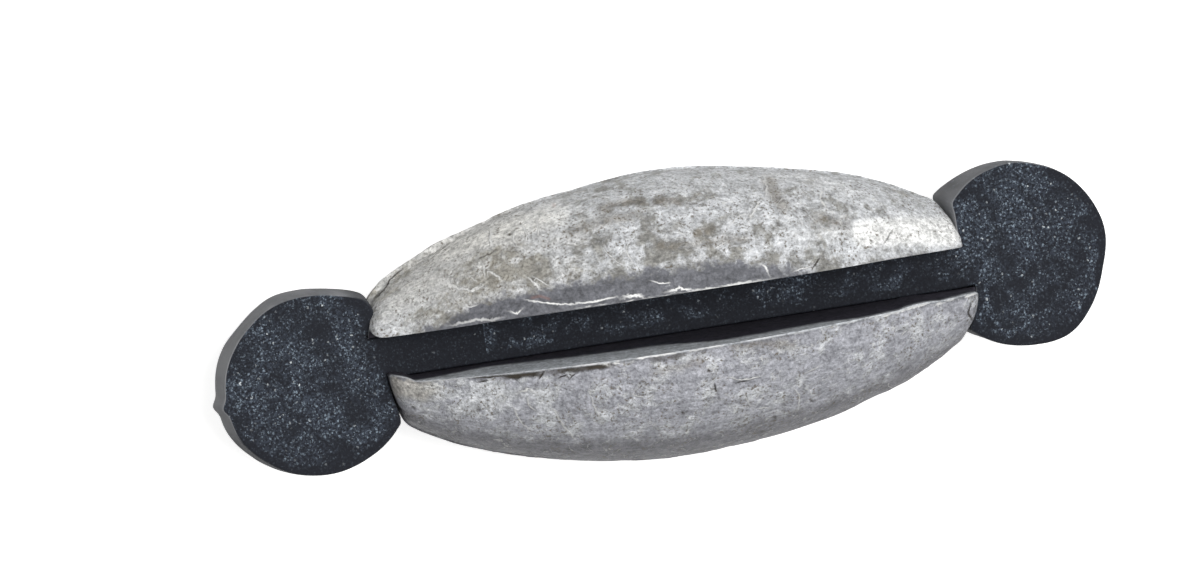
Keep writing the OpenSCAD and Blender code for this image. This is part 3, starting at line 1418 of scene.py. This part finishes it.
    def stains_and_painted_light(
        self, places: np.ndarray, facts: dict[str, np.ndarray]
    ) -> dict[str, np.ndarray]:
        """Marks where the lead is smooth and grey, creamy, pale, stained or bright, and where
        light and shade are painted on it.

        Args:
            places: The casting's final places.
            facts: What grid() says of each place.

        Returns:
            A value for each place, for each mark.
        """
        patches = SeededNoise(21)
        ragged = patches.layers(places, 1.2, 4)
        far_gap, near_gap, outside = facts["far_gap"], facts["near_gap"], facts["outside"]
        x, y, z = places.T
        # Slate bands: up to 1.35 mm wide along the far lip, up to 0.2 mm along the near one
        wide = 1.45 * ease((x + 14) / 6) * ease((8 - x) / 7) - 0.1
        far_band = (wide + 0.35 * ragged - far_gap) / 0.5
        slim = 0.1 + 0.1 * ease((6 - np.abs(x)) / 3)
        near_band = (slim + 0.2 * ragged - near_gap) / 0.3
        band = np.clip(np.where(far_gap < near_gap, far_band, near_band), -2, 2)
        # Painted shade in the slot: its walls keep their colour down to 2.3 mm on the left and 0.9
        # mm on the right, and are painted dark below
        unshaded_depth = (2.3 - 1.4 * ease((x + 2) / 4)) * ease((9 - x) / 3) + 0.1 * ragged
        unshaded_depth = unshaded_depth * ease((x + 14) / 5)
        painted_slot_shade = ease((-unshaded_depth - facts["gap"]) / 0.5)
        # A painted shadow lies as a dark line under the near lip, and white wear with a painted
        # highlight runs along both lips in places
        near = (near_gap < far_gap) * outside
        under = near * ease((1 - x) / 2) * ease((x + 11) / 2)
        rim = (1 - near) * 0.8 * ease((x + 7) / 3) * ease((5 - x) / 3)
        rim += near * (0.35 + 0.65 * ease((4 - np.abs(x + 3)) / 3) + 0.5 * ease((x - 7) / 2))
        # Painted shade: the near flank is darker below 45 degrees from the top. The far left lobe
        # is creamy
        flat = 2.36 + 0.1 * ragged - np.abs(facts["angle"])
        cream = ease((-3 - x + 2.5 * ragged) / 6) * ease((y - 0.5) / 3)
        tip = ease((-12.3 - x + 0.6 * ragged) / 0.8) * ease((1.5 - near_gap) / 0.6) * (y < 0)
        # Painted light: the lead is paler towards the far side and towards the right
        pale = 0.4 * ease((y + 1) / 2) + 0.3 * ease((x - 2) / 8) * ease(y) - 0.25
        pale = pale + 0.35 * ease((y - 3.5) / 2)
        return {
            "band": np.where(outside > 0, band, 2.0),
            "gap": facts["gap"],
            # Painted shade deep in the slot
            "painted_slot_shade": (1 - outside) * painted_slot_shade,
            "rim": rim,
            # A painted shadow under the near lip
            "under": under * ease(0.7 + patches.at(places + 5.0, 1.1)),
            # Painted shade low on the near flank
            "painted_flank_shade": 0.9 * outside * (y < 0) * ease(flat / 0.28),
            # A painted sheen on the slot's walls
            "painted_wall_sheen": 1 - outside,
            "cream": outside * (0.3 * cream + 0.5 * tip),
            "cool": ease((0.5 - y) / 2),
            "pale": pale * outside,
        }

    def build(self, finish: bpy.types.Material) -> bpy.types.Object:
        """Makes the casting's object.

        Args:
            finish: The lead's material.

        Returns:
            The object, riding on the sinker in place of the plain lead.
        """
        made = self.surface().to_object("lead_casting", finish)
        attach(made, "sinker")
        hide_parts("lead_body")
        return made


@dataclass(frozen=True)
class Bulge:
    """A place where an ear's rim stands out from its circle, or back from it: its direction from
    straight outwards, positive to the far side, how wide it is, and how far it stands out at the
    ear's underside and at its top.
    """

    at_deg: float
    width_deg: float
    low: float
    high: float


@dataclass(frozen=True)
class Ear:
    """One ear of the rubber: its place beyond the lead, how it has settled and turned, how its
    wall slopes, and where its rim isn't round, such as at the nib that the mould's gate left.
    """

    end: End
    reach: float
    sideways: float
    twist_deg: float
    draft: float
    bulges: tuple[Bulge, ...]
    radius: float = 4.42
    corner: float = 0.25


@dataclass
class RubberMoulding:
    """The rubber core: a bar in the slot that ends in two flat round ears, each drawn a little to
    one side. It is made as a middle bar and two ends that meet it face to face.
    """

    studio: Studio
    half_length: float
    half_width: float
    half_height: float
    flat_at: float
    ears: tuple[Ear, Ear] = (
        Ear(
            End.LEFT, reach=3.58, sideways=-0.90, twist_deg=-2, draft=0.14,
            bulges=(
                Bulge(-6, 4, low=0.24, high=0.24),
                Bulge(50, 18, low=-0.18, high=-0.1),
                Bulge(135, 22, low=0.5, high=0.4),
                Bulge(-25, 15, low=0.1, high=0.1),
                Bulge(-142, 20, low=-0.35, high=-0.35),
            ),
        ),
        Ear(
            End.RIGHT, reach=3.0, sideways=0.19, twist_deg=-6, draft=0.2,
            bulges=(
                Bulge(-18, 16, low=-0.14, high=-0.14),
                Bulge(-68, 20, low=0.20, high=0.32),
                Bulge(-105, 28, low=-0.26, high=0.26),
                Bulge(140, 32, low=-0.2, high=-0.42),
            ),
        ),
    )
    twist_from: float = 9.5
    end_gap: float = 0.04
    edge_round: float = 0.1
    neck_round: float = 0.06
    face_rows: int = 34
    edge_rows: int = 4
    wall_rows: int = 14
    step: float = 0.12

    @classmethod
    def from_frame(cls, studio: Studio) -> "RubberMoulding":
        """Takes the rubber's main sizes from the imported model's rubber and lead.

        Args:
            studio: The camera's angle, for the dust that the photograph shows.

        Returns:
            The rubber.
        """
        low, high = (np.array(corner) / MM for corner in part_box("rubber_core"))
        lead_low, lead_high = (np.array(corner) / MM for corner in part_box("lead_body"))
        half_length = (lead_high[0] - lead_low[0]) / 2
        return cls(
            studio,
            half_length=half_length,
            half_width=(high[1] - low[1]) / 2,
            half_height=(high[2] - low[2]) / 2,
            flat_at=half_length + cls.end_gap,
        )

    def ear_outline(self, ear: Ear) -> np.ndarray:
        """Half of an end's outline, seen from above, at even steps: along the bar, a small hollow
        rounding at the neck, the flat that faces the lead, a rounded corner that touches both the
        flat and the ear's circle, and the circle to the far end.

        Args:
            ear: The ear, drawn here as if it were the right one.

        Returns:
            X and Y of the outline's points.
        """
        centre = self.half_length + ear.reach
        neck, corner = self.neck_round, ear.corner
        corner_x = self.flat_at + corner
        corner_y = math.sqrt((ear.radius - corner) ** 2 - (centre - corner_x) ** 2)
        start = math.atan2(corner_y, corner_x - centre)
        bar_x = np.linspace(self.twist_from, self.flat_at - neck, 60)
        hollow = np.linspace(-QUARTER, 0, 8)
        turn = np.linspace(math.pi, start, 24)
        sweep = np.linspace(start, 0, 300)
        pieces = [
            np.stack([bar_x, np.full_like(bar_x, self.half_width)], axis=-1),
            [self.flat_at - neck, self.half_width + neck]
            + neck * np.stack([np.cos(hollow), np.sin(hollow)], axis=-1),
            [corner_x, corner_y] + corner * np.stack([np.cos(turn), np.sin(turn)], axis=-1),
            [centre, 0] + ear.radius * np.stack([np.cos(sweep), np.sin(sweep)], axis=-1),
        ]
        line = np.concatenate(pieces)
        run = np.append(0, np.hypot(*np.diff(line, axis=0).T).cumsum())
        steps = np.linspace(0, run[-1], math.ceil(run[-1] / self.step) + 1)
        return np.stack([np.interp(steps, run, line[:, k]) for k in range(2)], axis=-1)

    def shell(self, line: np.ndarray, spine: np.ndarray, closed: bool) -> Surface:
        """Stretches a profile along half an outline and along its mirror image: from a spine on
        the axis out over the top face, round the edge, down the wall and back under.

        Args:
            line: X and Y of the outline's points, with Y above 0.
            spine: X of the spine's point that belongs to each of them.
            closed: Whether the outline ends on the axis, so that the halves share that column.

        Returns:
            The closed surface, with marks for its wall.
        """
        along = np.gradient(line, axis=0)
        along /= np.linalg.norm(along, axis=1, keepdims=True)
        out = np.stack([-along[:, 1], along[:, 0]], axis=-1)
        if closed:
            out[-1] = (1.0, 0.0)
        edge, height = self.edge_round, self.half_height
        turn = np.linspace(0, QUARTER, self.edge_rows + 1)
        inset = np.concatenate([edge * (1 - np.sin(turn)), np.zeros(self.wall_rows - 1)])
        rise = np.concatenate(
            [
                height - edge * (1 - np.cos(turn)),
                np.linspace(height - edge, edge - height, self.wall_rows + 1)[1:-1],
            ]
        )
        inset = np.append(inset, inset[: self.edge_rows + 1][::-1])
        rise = np.append(rise, -rise[: self.edge_rows + 1][::-1])
        rim = line[None] - inset[:, None, None] * out[None]
        share = np.linspace(0, 1, self.face_rows + 1)[:-1, None, None]
        middle = np.stack([spine, np.zeros_like(spine)], axis=-1)
        top = middle + (rim[0] - middle) * share
        plan = np.concatenate([top, rim, top[::-1]])
        level = np.concatenate(
            [np.full(self.face_rows, height), rise, np.full(self.face_rows, -height)]
        )
        half = np.concatenate([plan, level[:, None, None] + 0 * plan[..., :1]], axis=-1)
        rows, columns = half.shape[:2]
        wall = np.zeros(rows)
        wall[self.face_rows + 2 : rows - self.face_rows - 2] = 1
        first = np.arange(rows * columns).reshape(rows, columns)
        second = first + rows * columns
        second[[0, -1]] = first[[0, -1]]
        if closed:
            second[:, -1] = first[:, -1]
        places = np.concatenate([half.reshape(-1, 3), (half * [1, -1, 1]).reshape(-1, 3)])
        parts = []
        for index, way in ((first, 1), (second, -1)):
            quads = np.stack(
                [index[:-1, :-1], index[1:, :-1], index[1:, 1:], index[:-1, 1:]], axis=-1
            )
            parts.append(quads.reshape(-1, 4)[:, ::way])
        for column, way in [(0, 1)] if closed else [(0, 1), (-1, -1)]:
            cap = np.stack(
                [first[:-1, column], second[:-1, column], second[1:, column], first[1:, column]],
                axis=-1,
            )
            parts.append(cap[:, ::way])
        used, quads = np.unique(np.concatenate(parts), return_inverse=True)
        quads = quads.reshape(-1, 4)
        doubled = quads == np.roll(quads, 1, axis=1)
        short = doubled.any(axis=1)
        single = np.argsort(doubled[short], axis=1, kind="stable")[:, :3]
        triangles = np.take_along_axis(quads[short], single, axis=1)
        made = Surface(places[used], quads[~short], triangles)
        made.face_outwards()
        made.marks["wall"] = np.tile(np.repeat(wall, columns), 2)[used]
        return made

    def rim(self, places: np.ndarray, ear: Ear) -> tuple[np.ndarray, np.ndarray, np.ndarray]:
        """Says how places lie to an ear.

        Args:
            places: The rubber's true places.
            ear: The ear.

        Returns:
            The direction from the ear's centre, the distance in radii, and how far the rim there
            faces the light, from 0 to 1.
        """
        away = places[:, :2] - [ear.end.value * (self.half_length + ear.reach), 0]
        far = np.maximum(np.linalg.norm(away, axis=1), 1e-6)
        way = away / far[:, None]
        return way, far / ear.radius, ease((way @ np.array([-0.68, 0.73]) - 0.18) / 0.25)

    def settle(self, places: np.ndarray, ear: Ear | None) -> np.ndarray:
        """Draws the ear to its side, turns it a little about the axis, shapes its rim, and gives
        the rubber its uneven ends and its lumps.

        Args:
            places: The rubber's true places.
            ear: The ear that they belong to, or None for the middle bar.

        Returns:
            The places moved.
        """
        soft = SeededNoise(31)
        moved = places.copy()
        x, y, z = places.T
        out = np.abs(x) - self.half_length
        if ear is not None:
            # The ear is free to move, and the bar beside it isn't
            free = np.maximum(ease(out / 1.6), ease((np.abs(y) - self.half_width) / 1.2))
            way, far, _ = self.rim(places, ear)
            turned = np.degrees(np.arctan2(way[:, 1], ear.end.value * way[:, 0]))
            up = (1 + z / self.half_height) / 2
            push = ear.draft * (1 - up)
            for bulge in ear.bulges:
                off = (turned - bulge.at_deg + 180) % 360 - 180
                push += bump(off, bulge.width_deg) * (bulge.low + (bulge.high - bulge.low) * up)
            moved[:, :2] += (push * free * ease((far - 0.7) / 0.3))[:, None] * way
            turn = math.radians(ear.twist_deg) * ease((out + 1) / 2.5)
            _, y, z = moved.T.copy()
            moved[:, 1] = np.cos(turn) * y - np.sin(turn) * z + ear.sideways * free
            moved[:, 2] = np.sin(turn) * y + np.cos(turn) * z
        moved[:, 0] += end_moves(moved) * (1 - ease(out / 2.5))
        # Lumps 2.6 mm across, and in the slot only up and down, so that the bar clears its walls
        loose = ease(out / 0.8)
        for axis in range(3):
            lumps = soft.layers(places + 13.0 * axis, 2.6, 3)
            moved[:, axis] += 0.035 * lumps * (loose if axis < 2 else 0.35 + 0.65 * loose)
        return moved

    def build(self, finish: bpy.types.Material) -> list[bpy.types.Object]:
        """Makes the middle bar and the two ends.

        Args:
            finish: The rubber's material.

        Returns:
            The three objects, in place of the plain rubber.
        """
        x = np.linspace(-self.twist_from, self.twist_from, 121)
        line = np.stack([x, np.full_like(x, self.half_width)], axis=-1)
        surface = self.shell(line, x, closed=False)
        bar = self.dress("rubber_bar", surface, None, finish)
        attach(bar, "sinker")
        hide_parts("rubber_core")
        made = [bar]
        for ear in self.ears:
            side = ear.end.name.lower()
            line = self.ear_outline(ear)
            spine_end = self.half_length + ear.reach + 0.5 * ear.radius
            spine = np.minimum(line[:, 0], self.flat_at)
            past = np.linspace(0, 1, int((line[:, 0] >= self.flat_at - 1e-6).sum()))
            spine[-len(past) :] = self.flat_at + (spine_end - self.flat_at) * past
            surface = self.shell(line, spine, closed=True)
            if ear.end is End.LEFT:
                surface.places = surface.places * [-1, 1, 1]
                surface.face_outwards()
            piece = self.dress(f"rubber_{side}_ear", surface, ear, finish)
            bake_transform(piece)
            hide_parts(f"{side}_ear")
            made.append(piece)
        return made

    def dress(
        self, name: str, surface: Surface, ear: Ear | None, finish: bpy.types.Material
    ) -> bpy.types.Object:
        """Settles a part of the rubber, marks its dust and makes its object.

        Args:
            name: Name of the object.
            surface: The part's true surface.
            ear: The ear that it belongs to, or None for the middle bar.
            finish: The rubber's material.

        Returns:
            The object.
        """
        x, y, z = surface.places.T
        out = np.abs(x) - self.half_length
        # Dust lies on the ears, hardly on the bar, and not along the bar's near edge
        dust = 0.35 * ease((np.abs(x) - 13) / 3) - 0.2
        dust -= 1.3 * ease((-y - 0.35) / 0.5) * ease(-out / 0.8)
        if ear is None:
            surface.marks["wall"] *= 0
        else:
            way, far, lit = self.rim(surface.places, ear)
            left = ease((-0.55 - way[:, 0]) / 0.3)
            clear = np.maximum(ease((np.abs(y) - self.half_width) / 0.5), ease(out - 0.5))
            wear_and_painted_light = SeededNoise(33).layers(surface.places * [1, 1, 0.3], 1.1, 4)
            # The wall mark is a painted sheen: grey where the wall faces the light, lightest on
            # the left, and uneven
            surface.marks["wall"] *= (0.07 + (0.5 + 0.35 * left + 0.25 * wear_and_painted_light) * lit) * clear
            # Painted shade: no dust near the rim where it faces away from the light
            dust -= 1.2 * ease((far - 0.88) / 0.08) * (1 - lit)
        surface.places = self.settle(surface.places, ear)
        drawn = draw_strokes(RUBBER_STROKES, self.studio.pixels(surface.places), z > 0)
        surface.marks["dust"] = dust + drawn["dust"]
        surface.marks["rest"] = surface.places
        made = surface.to_object(name, finish)
        return made


def main() -> None:
    """Builds the lead, the rubber and the studio."""
    logging.basicConfig(level=logging.INFO, format="%(name)s: %(message)s")
    studio = Studio()
    lead = LeadCasting.from_frame(studio).build(CastLead().material())
    rubber = RubberMoulding.from_frame(studio).build(MouldedRubber().material())
    for piece in [lead, *rubber]:
        log.info("%s has %d faces", piece.name, len(piece.data.polygons))
    studio.build()


if __name__ == "__main__":
    main()
